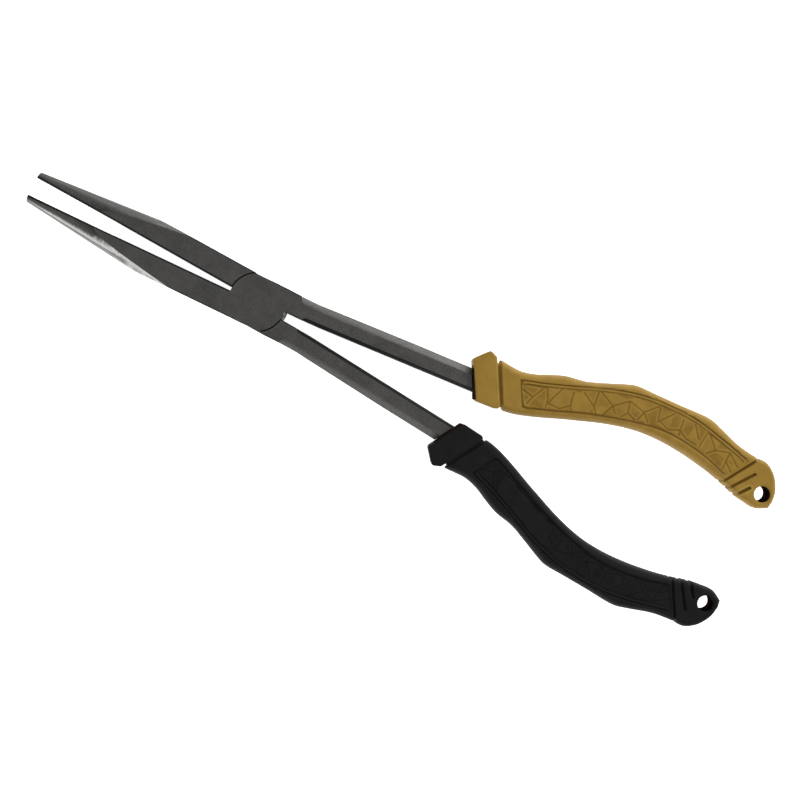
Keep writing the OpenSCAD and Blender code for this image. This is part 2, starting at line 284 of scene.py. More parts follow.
def relief(xy, plated):
    """Depth of the moulded relief below the plain skin at each point, in mm, and its painted shade:
    up to 1 in the grooves and down to -1, a painted highlight, on the ridges."""
    to_outer, to_inner = (beside(xy, line) for line in PANEL_SIDES)
    front = behind_groove(xy) - PANEL_FRONT
    slot_a, slot_b = np.array(SLOTS[0][0]), np.array(SLOTS[0][1])
    run = (slot_b - slot_a) / np.linalg.norm(slot_b - slot_a)
    rear = (xy - slot_a) @ np.array([-run[1], run[0]]) - PANEL_REAR
    corner_r, end_r = PANEL_CORNER_R
    inside = soft_min(soft_min(to_outer, to_inner, corner_r), soft_min(front, rear, corner_r), end_r)
    inner_side = step((to_outer - to_inner) / 4 + 0.5)
    # The outer side has a second line and a ridge, which fade out before the panel's ends
    brim = (1 - inner_side) * step((front - 0.6) / 1.2) * step(rear - 1)

    border_at, border_w = BORDER_LINE
    sunk = step((inside - border_at) / WALL_W)
    groove = mark(inside, border_at, border_w + BORDER_WIDER * inner_side) * (1 - 0.6 * step(2 - rear))
    second, ridge = mark(inside, *SECOND_LINE) * brim, mark(inside, *RIDGE_LINE) * brim
    lip = mark(inside, *LIP_LINE)
    in_facets = step((inside - 0.3 - 0.7 * brim) / WALL_W)
    folds = np.minimum.reduce([distance(xy, np.array(fold)) for fold in FOLDS])
    fold, fold_lip = mark(folds, *FOLD_LINE) * in_facets, mark(folds, *FOLD_LIP_LINE) * in_facets
    height, tone = facet_height(xy)
    field = FACET_DEPTH + FACET_RANGE * (1 - height)
    if plated:
        ends = soft_min(PLATE_X[0] - xy[:, 0], xy[:, 0] - PLATE_X[1], corner_r)
        plate = soft_min(ends, inside - 1.2, corner_r)
        on_plate = step(plate / 0.4 + 0.5)
        plate_rim = mark(plate, *PLATE_LINE)
        fold, fold_lip, tone = (part * (1 - on_plate) for part in (fold, fold_lip, tone))
        field += (PLATE_DEPTH - field) * on_plate + 0.2 * plate_rim
        in_facets = np.maximum(in_facets, on_plate)
    depth = PANEL_DEPTH * sunk + (field - PANEL_DEPTH) * in_facets - LIP_HEIGHT * lip
    depth += BORDER_DEPTH * groove + SECOND_DEPTH * second + FOLD_DEPTH * fold
    # Painted shade: the border groove, the second line, the folds and the facets' tones
    shade = np.maximum.reduce([groove, PAINTED_SHADE["second"] * second, PAINTED_SHADE["fold"] * fold,
                               PAINTED_SHADE["facet"] * tone * in_facets])
    if plated:
        shade = np.maximum(shade, PAINTED_SHADE["plate_rim"] * plate_rim)
    # Painted highlights on the lip, the ridge and the folds' lips
    raised_highlight = PAINTED_HIGHLIGHT["ridge"] * ridge + PAINTED_HIGHLIGHT["fold_lip"] * fold_lip
    shade = shade - PAINTED_HIGHLIGHT["lip"] * lip * (1 - groove) - raised_highlight * (1 - groove) * (1 - second)

    for index, (start, end, width) in enumerate(SLOTS):
        a, b = np.array(start), np.array(end)
        ahead = (b - a) / np.linalg.norm(b - a)
        past = b + ahead * SLOT_RUN_OUT[1] if index == 0 else b
        away = distance(xy, np.array([a - ahead * SLOT_RUN_OUT[0], past])) - width / 2
        cut, slot_lip = step(0.5 - away / SLOT_WALL_W), mark(away, *SLOT_LIP_LINE)
        depth = np.maximum(depth * (1 - 0.8 * cut), SLOT_DEPTH * cut) - LIP_HEIGHT * slot_lip * (1 - cut)
        # Painted shade in the slot and a painted highlight on its lips
        shade = np.maximum(shade * (1 - slot_lip), cut) - PAINTED_HIGHLIGHT["slot_lip"] * slot_lip * (1 - cut)
    return depth, shade


# ---------------------------------------------------------------- mesh helpers
def make_object(name, mesh):
    obj = bpy.data.objects.new(name, mesh)
    bpy.context.scene.collection.objects.link(obj)
    return obj


def mesh_of(name, points, faces):
    mesh = bpy.data.meshes.new(name)
    mesh.from_pydata([tuple(p) for p in points], [], [tuple(f) for f in faces])
    bm = bmesh.new()
    bm.from_mesh(mesh)
    bmesh.ops.recalc_face_normals(bm, faces=bm.faces)
    bm.to_mesh(mesh)
    bm.free()
    return mesh


def tube(name, points, count):
    """A closed solid through rows of count points each, one row after another."""
    rows = len(points) // count
    faces = []
    for row in range(rows - 1):
        a, b = row * count, (row + 1) * count
        faces += [(a + i, a + (i + 1) % count, b + (i + 1) % count, b + i) for i in range(count)]
    faces += [tuple(range(count))[::-1], tuple(range((rows - 1) * count, rows * count))]
    return mesh_of(name, points, faces)


def prism(name, outline, half_t):
    """A closed outline given a half thickness each way of z = 0."""
    points = [(x, y, z) for z in (-half_t, half_t) for x, y in outline]
    return tube(name, points, len(outline))


def rounded_edge(start, height, radius):
    """Points (sideways, z) round two edges, the lower one and the upper one, that end at a height."""
    upper = [(start + radius * (1 - math.cos(t)), height - radius * (1 - math.sin(t)))
             for t in np.linspace(0, math.pi / 2, 7)]
    return [(out, -z) for out, z in upper[::-1]], upper


def carve(name, mesh, cutters):
    """The mesh without the cutters' volume. The cutters are thrown away."""
    obj = make_object(name, mesh)
    for cutter in cutters:
        change = obj.modifiers.new("cut", "BOOLEAN")
        change.operation = "DIFFERENCE"
        change.solver = "MANIFOLD"
        change.object = cutter
    bpy.context.view_layer.update()
    graph = bpy.context.evaluated_depsgraph_get()
    carved = bpy.data.meshes.new_from_object(obj.evaluated_get(graph))
    for used in (obj, *cutters):
        bpy.data.objects.remove(used)
    return carved


def inset(outline, d):
    """A closed outline moved inwards by d. The outline runs clockwise."""
    p = np.array(outline, float)
    run = np.roll(p, -1, axis=0) - np.roll(p, 1, axis=0)
    run /= np.linalg.norm(run, axis=1)[:, None]
    return p + d * np.column_stack([run[:, 1], -run[:, 0]])


def clip(outline, sign, limit):
    """The part of an outline where sign times the distance behind the groove is under a limit."""
    kept = []
    side = [sign * behind_groove(p) - limit for p in outline]
    for i, p in enumerate(outline):
        q, here, there = outline[(i + 1) % len(outline)], side[i], side[(i + 1) % len(outline)]
        if here <= 0:
            kept.append(tuple(p))
        if (here <= 0) != (there <= 0):
            t = here / (here - there)
            kept.append(tuple(np.array(p) + t * (np.array(q) - np.array(p))))
    return kept


def rounded(outline, radius, d, steps=6):
    """A convex outline with its corners turned into arcs, moved inwards by d, which is under the radius."""
    out = []
    p = [np.array(q, float) for q in outline]
    for i, corner in enumerate(p):
        to_last, to_next = p[i - 1] - corner, p[(i + 1) % len(p)] - corner
        u, v = to_last / np.linalg.norm(to_last), to_next / np.linalg.norm(to_next)
        half = math.acos(np.clip(u @ v, -1, 1)) / 2
        centre = corner + (u + v) / np.linalg.norm(u + v) * radius / math.sin(half)
        a, b = (corner + w * radius / math.tan(half) - centre for w in (u, v))
        turn = math.atan2(a[0] * b[1] - a[1] * b[0], a @ b)
        from_x = math.atan2(a[1], a[0])
        for k in range(steps + 1):
            at = from_x + turn * k / steps
            out.append(tuple(centre + (radius - d) * np.array([math.cos(at), math.sin(at)])))
    return out


# ---------------------------------------------------------------- grip
EDGE_STEPS = 9  # points round a rounded edge
FACE_STEPS = 58  # points across a face
SPACING = 0.22  # between two sections
HEAD_ROUND = 1.6  # length over which the sections crowd together at the head
EDGE_R = 2.4  # of the rounding between a face and a side
HEAD_EDGE_R = 1.6
HEAD_EDGE_X = (-172, -182)  # where that rounding passes from one radius to the other
FRONT_LIP_R = 0.45
SIDE_LAND = 1.5  # half height of the flat part of a grip's side
NECK_EDGE_R = 1.0
CREASE_DEG = {"grip": 38, "collar": 32, "lever": 24}
ROUND_SIDES = 72


def section_offsets(width, reach):
    """Places across a station, close together on the rounded edges."""
    turn = np.linspace(0, math.pi / 2, EDGE_STEPS + 1)[:, None]
    near = reach * (1 - np.cos(turn))
    middle = near[-1] + (width - 2 * near[-1]) * np.linspace(0, 1, FACE_STEPS + 1)[1:-1, None]
    return np.vstack([near, middle, width - near[::-1]]).T


def grip_places(total):
    """Where the sections of a grip stand: close together at its front edge and its head."""
    front = np.array([0, 0.04, 0.12, 0.24, 0.4])
    back = total - HEAD_ROUND * (1 - np.cos(np.linspace(math.pi / 2, 0, 9)))
    body = np.arange(0.6, back[0] - 0.1, SPACING)
    return np.concatenate([front, body, back])


def grip_stations():
    """The places of a grip's sections along its middle, and their ends on its outer and inner edge."""
    lines = [spline([s[k] for s in STATIONS[GROOVE_STATION:]], 40) for k in (0, 1)]
    middle = (lines[0] + lines[1]) / 2
    length = np.concatenate([[0], np.cumsum(np.linalg.norm(np.diff(middle, axis=0), axis=1))])
    places = grip_places(length[-1])
    ends = [np.column_stack([np.interp(places, length, line[:, c]) for c in (0, 1)]) for line in lines]
    return places, ends


def closed_sections(top, land):
    """Joins top rows, the same rows turned over and two points on each side into closed sections."""
    bottom = top * [1, 1, -1]
    outer = top[:, -1:] * [1, 1, 0]
    inner = top[:, :1] * [1, 1, 0]
    up = np.array([0, 0, land / 3])
    return np.concatenate([top, outer + up, outer - up, bottom[:, ::-1], inner - up, inner + up], axis=1)


def grip_body():
    """The grip's plain outer form as closed sections, and the two edges that they run between."""
    places, (outer, inner) = grip_stations()
    width = np.linalg.norm(outer - inner, axis=1)
    across = (outer - inner) / width[:, None]
    tuck = FRONT_LIP_R * (1 - np.sqrt(1 - np.clip(1 - places / FRONT_LIP_R, 0, 1) ** 2))
    edge_r = EDGE_R - (EDGE_R - HEAD_EDGE_R) * step(1 - tapered(outer[:, 0], HEAD_EDGE_X, (1, 0)))
    offsets = section_offsets(width, np.minimum(edge_r, 0.4 * width))
    xy = inner[:, None] + offsets[..., None] * across[:, None]
    rim = np.vstack([OUTER_LINE[LINE_STEPS:], INNER_LINE[:LINE_STEPS - 1:-1]])
    away = distance(xy.reshape(-1, 2), rim).reshape(offsets.shape)
    away[:, [0, -1]] = 0
    away[-1] = 0
    tall = tapered(xy[..., 0], TAPER_X, (FACE_HALF_T, HEAD_HALF_T))
    arc = np.sqrt(1 - (1 - np.clip(away / edge_r[:, None], 0, 1)) ** 2)
    z = SIDE_LAND + (tall - SIDE_LAND) * arc - tuck[:, None]
    shift = tuck[:, None] * np.clip(1 - 2 * offsets / width[:, None], -1, 1)
    xy = xy + shift[..., None] * across[:, None]
    return closed_sections(np.concatenate([xy, z[..., None]], axis=2), SIDE_LAND), outer, inner


def outward_normals(loops, outer, inner):
    """The direction straight out of the form at each point of its sections."""
    along = np.gradient(loops, axis=0)
    around = np.roll(loops, -1, axis=1) - np.roll(loops, 1, axis=1)
    normal = np.cross(around, along)
    normal /= np.maximum(np.linalg.norm(normal, axis=2), 1e-9)[..., None]
    middle = np.concatenate([(outer + inner) / 2, np.zeros((len(outer), 1))], axis=1)
    return normal * np.sign(np.sum(normal * (loops - middle[:, None])))


def neck_sections(outer, inner):
    """The sections of the neck that runs into the collar, from a grip's first two edge points."""
    sections = []
    for depth in (NECK_L, NECK_L * 0.5, 0):
        o, i = outer - BACK * depth, inner - BACK * depth
        width = np.linalg.norm(o - i)
        ahead = (o - i) / width
        place = section_offsets(np.array([width - 2 * NECK_INSET]), np.array([NECK_EDGE_R]))[0]
        edge = np.minimum(place, place[-1] - place) / NECK_EDGE_R
        height = NECK_HALF_T - NECK_EDGE_R * (1 - np.sqrt(1 - (1 - np.clip(edge, 0, 1)) ** 2))
        row = np.column_stack([i + ahead * NECK_INSET + place[:, None] * ahead, height])[None]
        sections.append(closed_sections(row, NECK_HALF_T - NECK_EDGE_R))
    return np.concatenate(sections)


def grip_mesh():
    """The skin of a handle, from its neck inside the collar to its head, as one closed solid."""
    loops, outer, inner = grip_body()
    spots = loops[..., :2].reshape(-1, 2)
    faceted, plated = (relief(spots, side)[0].reshape(loops.shape[:2]) for side in (False, True))
    depth = np.where(loops[..., 2] >= 0, faceted, plated)
    depth[-1] = 0
    loops = loops - outward_normals(loops, outer, inner) * depth[..., None]
    loops = np.concatenate([neck_sections(outer[0], inner[0]), loops])
    return tube("grip", loops.reshape(-1, 3), loops.shape[1])


def core_blank():
    """The space that the hard core takes inside the skin and the collar."""
    outline = np.vstack([OUTER_LINE[::4], INNER_LINE[::-4]])
    mesh = prism("core_blank", inset(outline, SKIN_T - 0.03), CORE_HALF_T[0] + EASE)
    bm = bmesh.new()
    bm.from_mesh(mesh)
    for x in CORE_TAPER_X:
        bmesh.ops.bisect_plane(bm, geom=bm.verts[:] + bm.edges[:] + bm.faces[:], dist=1e-5,
                               plane_co=(x, 0, 0), plane_no=(1, 0, 0))
    for v in bm.verts:
        thinner = CORE_HALF_T[0] - tapered(v.co.x, CORE_TAPER_X, CORE_HALF_T)
        v.co.z -= math.copysign(thinner, v.co.z)
    bm.to_mesh(mesh)
    bm.free()
    return make_object("core_blank", mesh)


def lathe(name, profile, at):
    """A profile of (radius, z) turned round a vertical axis."""
    turns = [2 * math.pi * k / ROUND_SIDES for k in range(ROUND_SIDES)]
    points = [(at[0] + r * math.cos(turn), at[1] + r * math.sin(turn), z)
              for r, z in profile for turn in turns]
    return make_object(name, tube(name, points, ROUND_SIDES))


def lanyard_cutter():
    """A drill with a flare that rounds the hole's lips."""
    lip, reach = 0.55, 9.0
    below, above = rounded_edge(LANYARD_R, HEAD_HALF_T, lip)
    widest = LANYARD_R + lip
    return lathe("drill", [(widest, -reach), *below, *above, (widest, reach)], LANYARD_AT)


def store_relief(mesh):
    """Keeps the relief's painted shade and highlights on the mesh, for its material. It fades out down the
    sides.
    """
    co = np.zeros(len(mesh.vertices) * 3)
    mesh.vertices.foreach_get("co", co)
    co = co.reshape(-1, 3)
    faceted, plated = (relief(co[:, :2], side)[1] for side in (False, True))
    shade = np.where(co[:, 2] >= 0, faceted, plated) * step(np.abs(co[:, 2]) - 3.5)
    mesh.attributes.new("relief", "FLOAT", "POINT").data.foreach_set("value", shade.astype(np.float32))


def soften(mesh, degrees):
    """Smooth shading with creases kept at the sharper edges."""
    mesh.shade_smooth()
    mesh.set_sharp_from_angle(angle=math.radians(degrees))


def side_place(front):
    """From the closed place of the front lever, in mm, to where a side lies, in metres."""
    lift = Matrix.Translation((0, 0, MID_Z))
    if front:
        turn = Matrix.Rotation(math.radians(REST_DEG), 4, "Z") @ lift
    else:
        turn = Matrix.Rotation(math.radians(-REST_DEG), 4, "Z") @ lift @ Matrix.Rotation(math.pi, 4, "X")
    return Matrix.Scale(MM, 4) @ turn


SIDES = {"front": (side_place(True), "gold_skin"), "rear": (side_place(False), "black_skin")}


def twins(mesh, kind, materials):
    """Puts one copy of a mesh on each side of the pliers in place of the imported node."""
    for side, (place, slot_name) in SIDES.items():
        copy = mesh.copy()
        copy.name = f"{side}_{kind}_skin"
        copy.transform(place)
        copy.materials.clear()
        copy.materials.append(materials[slot_name])
        piece = make_object(f"{side}_{kind}_skin", copy)
        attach(piece, f"{side}_side")
        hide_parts(f"{side}_{kind}")


def build_grips(materials):
    ring = [(EYELET_R - EASE, z) for z in (-EYELET_HALF_T, EYELET_HALF_T)]
    eyelet = lathe("ring", ring, LANYARD_AT)
    mesh = carve("grip_body", grip_mesh(), [core_blank(), eyelet, lanyard_cutter()])
    store_relief(mesh)
    soften(mesh, CREASE_DEG["grip"])
    twins(mesh, "grip", materials)


# ---------------------------------------------------------------- collar
def collar_mesh():
    """The guard collar as a solid with rounded corners and edges."""
    outline = clip(clip(COLLAR_EDGE, -1, GROOVE_W / 2 + COLLAR_L - FLANGE_T), 1, -GROOVE_W / 2)
    corner_r, edge_r = 1.2, 0.8
    below, above = rounded_edge(0, COLLAR_HALF_T, edge_r)
    rows = [[(x, y, z) for x, y in rounded(outline, corner_r, inwards)] for inwards, z in below + above]
    return tube("collar", sum(rows, []), len(rows[0]))


def neck_pocket():
    """The space that the grip's neck takes in the collar."""
    outer, inner = (np.array(p, float) for p in STATIONS[GROOVE_STATION])
    ahead = (outer - inner) / np.linalg.norm(outer - inner)
    gap = 0.05
    side = ahead * (NECK_INSET - gap)
    ends = [outer - side, inner + side]
    floor = BACK * (NECK_L + gap)
    outline = [ends[0] + BACK * 3, ends[1] + BACK * 3, ends[1] - floor, ends[0] - floor]
    return make_object("neck_pocket", prism("neck_pocket", outline, NECK_HALF_T + gap))


def build_collars(materials):
    mesh = carve("collar_body", collar_mesh(), [core_blank(), neck_pocket()])
    mesh.attributes.new("relief", "FLOAT", "POINT")
    soften(mesh, CREASE_DEG["collar"])
    twins(mesh, "collar", materials)


# ---------------------------------------------------------------- levers
ARC_R = 10.2  # middle of the arc-shaped gap round a lever's disc
ARC_NEAR = 0.35
BROKEN_EDGE = 0.34


def build_lever(side, material):
    """The forged lever with its sharp edges broken."""
    packed = f"{side}_lever"
    mesh = frame["nodes"][packed].data.copy()
    mesh.name = f"{packed}_forging"
    bm = bmesh.new()
    bm.from_mesh(mesh)
    bmesh.ops.remove_doubles(bm, verts=bm.verts, dist=2e-6)
    bmesh.ops.dissolve_limit(bm, angle_limit=math.radians(0.6), verts=bm.verts, edges=bm.edges)
    weight = bm.edges.layers.float.new("bevel_weight_edge")
    turn = Matrix.Rotation(math.radians(-REST_DEG if side == "front" else REST_DEG), 3, "Z")
    for edge in bm.edges:
        ends = [turn @ v.co / MM for v in edge.verts]
        away = [math.hypot(p.x, p.y) for p in ends]
        on_arc = all(abs(r - ARC_R) < ARC_NEAR for r in away) or max(away) < ARC_R - ARC_NEAR
        in_jaw = all(p.x > ARC_R - 1 and abs(p.y) < 1 for p in ends)
        level = sorted(abs(face.normal.z) for face in edge.link_faces)
        wall_to_face = len(level) == 2 and level[0] < 0.2 and level[1] > 0.99
        if wall_to_face and not on_arc and not in_jaw:
            edge[weight] = 1.0
    bm.to_mesh(mesh)
    bm.free()
    mesh.materials.clear()
    for _ in range(2):  # the second slot marks the broken edges
        mesh.materials.append(material)
    piece = make_object(mesh.name, mesh)
    change = piece.modifiers.new("edge", "BEVEL")
    change.limit_method = "WEIGHT"
    change.width = BROKEN_EDGE * MM
    change.segments = 2
    change.material = 1
    change.use_clamp_overlap = False
    soften(mesh, CREASE_DEG["lever"])
    even = piece.modifiers.new("normals", "WEIGHTED_NORMAL")
    even.keep_sharp = True
    graph = bpy.context.evaluated_depsgraph_get()
    piece.data = bpy.data.meshes.new_from_object(piece.evaluated_get(graph))
    piece.modifiers.clear()
    on_edge = [float(face.material_index == 1) for face in piece.data.polygons]
    piece.data.attributes.new("on_edge", "FLOAT", "FACE").data.foreach_set("value", on_edge)
    for face in piece.data.polygons:
        face.material_index = 0
        face.use_smooth = abs(face.normal.z) < 0.9995
    piece.data.materials.pop(index=1)
    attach(piece, f"{side}_side")
    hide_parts(packed)


# ---------------------------------------------------------------- materials
def shader_of(name):
    material = bpy.data.materials.new(name)
    material.use_nodes = True
    return material, material.node_tree, material.node_tree.nodes["Principled BSDF"]


def node(tree, kind, **values):
    made = tree.nodes.new(kind)
    for key, value in values.items():
        if key in made.inputs:
            made.inputs[key].default_value = value
        else:
            setattr(made, key, value)
    return made


def noise(tree, place, scale, detail, rough=0.5):
    made = node(tree, "ShaderNodeTexNoise", Scale=scale, Detail=detail, Roughness=rough)
    tree.links.new(place, made.inputs["Vector"])
    return made.outputs["Fac"]


def spread(tree, value, low, high, to_low, to_high):
    """Maps a value from one range to another, held at the ends."""
    made = tree.nodes.new("ShaderNodeMapRange")
    for key, number in (("From Min", low), ("From Max", high), ("To Min", to_low), ("To Max", to_high)):
        made.inputs[key].default_value = number
    tree.links.new(value, made.inputs["Value"])
    return made.outputs["Result"]


def beyond(tree, value, none, full):
    """0 up to the first distance and 1 from the second one on, both in mm."""
    return spread(tree, value, none * MM, full * MM, 0, 1)


def within(tree, value, full, none):
    """1 up to the first distance and 0 from the second one on, both in mm."""
    return spread(tree, value, full * MM, none * MM, 1, 0)


def blend_colour(tree, amount, a, b):
    """Mixes two colours, each a socket or a tuple. Inputs 0, 6 and 7 are the factor, A and B."""
    made = tree.nodes.new("ShaderNodeMix")
    made.data_type = "RGBA"
    for socket, value in ((made.inputs[0], amount), (made.inputs[6], a), (made.inputs[7], b)):
        if hasattr(value, "is_linked"):
            tree.links.new(value, socket)
        else:
            socket.default_value = (*value, 1)
    return made.outputs[2]


def maths(tree, kind, *values):
    made = tree.nodes.new("ShaderNodeMath")
    made.operation = kind
    for socket, value in zip(made.inputs, values):
        if hasattr(value, "is_linked"):
            tree.links.new(value, socket)
        else:
            socket.default_value = value
    return made.outputs[0]


def chain(tree, kind, first, *others):
    """Joins several values by the same operation, one after another."""
    for other in others:
        first = maths(tree, kind, first, other)
    return first


def bump(tree, shader, height, strength, depth):
    made = node(tree, "ShaderNodeBump", Strength=strength, Distance=depth)
    tree.links.new(height, made.inputs["Height"])
    tree.links.new(made.outputs["Normal"], shader.inputs["Normal"])


def skin_material(name, low, high, groove_shade_colour, ridge_highlight_colour, rough, specular):
    """A soft moulded skin: faint blotches, a fine grain, painted shade in the grooves and painted
    highlights on the ridges.
    """
    material, tree, shader = shader_of(name)
    place = tree.nodes.new("ShaderNodeTexCoord").outputs["Object"]
    blotch = noise(tree, place, 260, 3)
    grain = noise(tree, place, 5200, 2)
    colour = blend_colour(tree, spread(tree, blotch, 0.35, 0.65, 0, 1), low, high)
    shade = node(tree, "ShaderNodeAttribute", attribute_name="relief").outputs["Fac"]
    # Painted shade in the grooves, then a painted highlight on the ridges
    colour = blend_colour(tree, spread(tree, shade, 0, 1, 0, 0.85), colour, groove_shade_colour)
    colour = blend_colour(tree, spread(tree, shade, -1, 0, 0.6, 0), colour, ridge_highlight_colour)
    tree.links.new(colour, shader.inputs["Base Color"])
    tree.links.new(spread(tree, grain, 0.3, 0.7, rough - 0.07, rough + 0.07), shader.inputs["Roughness"])
    shader.inputs["Specular IOR Level"].default_value = specular
    bump(tree, shader, grain, 0.25, 0.00006)
    return material


# Colours of the levers' coat and its ground metal, and of the painted shade on its flanks, bevels, inner
# faces and edge lines
COAT_LOW, COAT_HIGH = (0.110, 0.108, 0.103), (0.130, 0.127, 0.121)
COAT_DRIFT = (0.165, 0.162, 0.155)
COAT_FLECK = (0.185, 0.182, 0.172)
COAT_PIT = (0.072, 0.07, 0.067)
FLANK_SHADE_TONE = (0.028, 0.0275, 0.027)
BEVEL_SHADE_TONE = (0.02, 0.0195, 0.019)
INNER_SHADE_TONE = (0.010, 0.0095, 0.0095)
EDGE_LINE_SHADE_TONE = (0.012, 0.0115, 0.0115)
# Painted reflection on ground metal, its brightness set by how far it faces outwards: a bright band, then
# fine dark ones
GROUND_REFLECTION_TONES = ((0.72, 0.42), (0.79, 0.36), (0.82, 0.16), (0.845, 0.07), (0.87, 0.17), (0.93, 0.17),
                (0.95, 0.08), (0.97, 0.16), (1.0, 0.12))


def closed_place(tree, side):
    """The place on a lever as it lies, then its place and its normal turned back to where they are
    with the pliers closed, each with its three parts."""
    spots = tree.nodes.new("ShaderNodeTexCoord")
    turned = []
    for vector in (spots.outputs["Object"], spots.outputs["Normal"]):
        turn = node(tree, "ShaderNodeVectorRotate", rotation_type="Z_AXIS",
                    Angle=math.radians(-REST_DEG * side))
        tree.links.new(vector, turn.inputs["Vector"])
        split = tree.nodes.new("ShaderNodeSeparateXYZ")
        tree.links.new(turn.outputs[0], split.inputs[0])
        turned.append((turn.outputs[0], split.outputs))
    return spots.outputs["Object"], turned


def coat_colour(tree, place, cloud, speckle):
    """The coat's grey with slow drifts, pale flecks and dark pits."""
    colour = blend_colour(tree, spread(tree, cloud, 0.3, 0.7, 0, 1), COAT_LOW, COAT_HIGH)
    for pattern, none, full, share, tone in ((noise(tree, place, 75, 2), 0.35, 0.68, 0.4, COAT_DRIFT),
                                             (speckle, 0.56, 0.75, 0.6, COAT_FLECK),
                                             (speckle, 0.44, 0.28, 0.6, COAT_PIT)):
        colour = blend_colour(tree, spread(tree, pattern, none, full, 0, share), colour, tone)
    return colour


def ground_and_reflection_colour(tree, outward, x):
    """The colour of ground metal with its painted reflection, banded by how far it faces outwards. Towards
    the joint the bright band widens over the whole flank.
    """
    grade = maths(tree, "SUBTRACT", outward, spread(tree, x, 0.030, 0.052, 0.20, 0))
    grade = maths(tree, "MINIMUM", grade, spread(tree, x, 0.046, 0.056, 0.79, 1))
    ramp = tree.nodes.new("ShaderNodeValToRGB")
    stops = ramp.color_ramp.elements
    while len(stops) < len(GROUND_REFLECTION_TONES):
        stops.new(0.5)
    for stop, (at, level) in zip(stops, GROUND_REFLECTION_TONES):
        stop.position = at
        stop.color = (level, level * 0.99, level * 0.96, 1)
    tree.links.new(grade, ramp.inputs["Fac"])
    return ramp.outputs["Color"]


def steel_material(name, side, bare, flank_shade_amount=0.0):
    """Dark coated steel. Side is 1 on the front lever, -1 on the rear one and 0 on the rivet. The outer
    flanks of the nose are ground across its length: bare is how much of that metal, with its painted
    reflection, shows there, and the last argument is how much painted shade darkens them."""
    material, tree, shader = shader_of(name)
    place, ((along, (x, y, z)), (_, (_, facing_y, _))) = closed_place(tree, side)
    outward = chain(tree, "MULTIPLY", facing_y, side, maths(tree, "SIGN", x))
    cloud = noise(tree, place, 300, 3, 0.6)
    speckle = noise(tree, place, 1500, 2, 0.6)

    # Painted shade down the nose's flanks, and on every outward bevel near the flat face
    painted_flank_shade = chain(tree, "MULTIPLY", spread(tree, outward, 0.2, 0.9, 0, flank_shade_amount),
                       beyond(tree, x, 14, 20))
    from_middle = maths(tree, "ABSOLUTE", maths(tree, "SUBTRACT", z, MID_Z * MM))
    painted_bevel_shade = chain(tree, "MULTIPLY", spread(tree, outward, 0.05, 0.2, 0, 0.62),
                       beyond(tree, from_middle, 4.6, MID_Z - 0.05))
    # Painted shade, near black, on the faces towards the other lever
    scale = chain(tree, "MULTIPLY", spread(tree, outward, -0.3, -0.45, 0, 0.93),
                  beyond(tree, maths(tree, "ABSOLUTE", x), 13.5, 16.5))
    # Painted shade in dark lines: on the broken edges, the lips of the gap round the disc, and the jaws'
    # inner rims
    edge = node(tree, "ShaderNodeAttribute", attribute_name="on_edge").outputs["Fac"]
    squares = (chain(tree, "MULTIPLY", part, part) for part in (x, y))
    from_pivot = maths(tree, "SQRT", maths(tree, "ADD", *squares))
    off_arc = maths(tree, "ABSOLUTE", maths(tree, "SUBTRACT", from_pivot, ARC_R * MM))
    arc = chain(tree, "MULTIPLY", within(tree, off_arc, 0.26, 0.36),
                maths(tree, "LESS_THAN", chain(tree, "MULTIPLY", x, y, side), 0.0))
    rim = chain(tree, "MULTIPLY", within(tree, maths(tree, "ABSOLUTE", y), 0.80, 0.98),
                beyond(tree, x, 9.8, ARC_R))
    painted_line_shade = chain(tree, "MAXIMUM", edge, arc, rim)
    # Ground metal: on the flanks only, clear of the flat face and of the joint, and fainter at the tip
    strokes = node(tree, "ShaderNodeMapping", Scale=(1.0, 0.08, 0.08))
    tree.links.new(along, strokes.inputs["Vector"])
    brushed = noise(tree, strokes.outputs[0], 1500, 3, 0.6)
    flank = maths(tree, "ADD", outward, spread(tree, brushed, 0.3, 0.7, -0.045, 0.045))
    ground = chain(tree, "MULTIPLY", within(tree, z, 2 * MID_Z - 0.15, 2 * MID_Z - 0.03),
                   beyond(tree, x, 26, 34), spread(tree, x, 0.0800, 0.0884, 1, 0.25),
                   spread(tree, flank, 0.58, 0.70, 0, 1))
    shown = maths(tree, "MULTIPLY", ground, spread(tree, brushed, 0.3, 0.7, bare * 0.75, bare))

    colour = coat_colour(tree, place, cloud, speckle)
    # Painted shade on the flanks, bevels, inner faces and edge lines, then ground metal with its painted
    # reflection
    for amount, tone in ((painted_flank_shade, FLANK_SHADE_TONE), (painted_bevel_shade, BEVEL_SHADE_TONE), (scale, INNER_SHADE_TONE),
                         (painted_line_shade, EDGE_LINE_SHADE_TONE), (shown, ground_and_reflection_colour(tree, outward, x))):
        colour = blend_colour(tree, amount, colour, tone)
    tree.links.new(colour, shader.inputs["Base Color"])
    # Where shade is painted, the metal's shine is taken away too
    dull = chain(tree, "MULTIPLY", painted_flank_shade, spread(tree, outward, 0.55, 0.9, 0, 0.85))
    dull = chain(tree, "MAXIMUM", dull, painted_line_shade, scale)
    tree.links.new(maths(tree, "SUBTRACT", 1.0, dull), shader.inputs["Metallic"])
    shader.inputs["Specular IOR Level"].default_value = 0.05
    rough = maths(tree, "SUBTRACT", spread(tree, cloud, 0.3, 0.7, 0.42, 0.52),
                  maths(tree, "MULTIPLY", ground, 0.12))
    tree.links.new(rough, shader.inputs["Roughness"])
    height = maths(tree, "ADD", maths(tree, "MULTIPLY", speckle, 0.6),
                   chain(tree, "MULTIPLY", brushed, ground, 0.6))
    bump(tree, shader, height, 0.3, 0.00005)
    return material


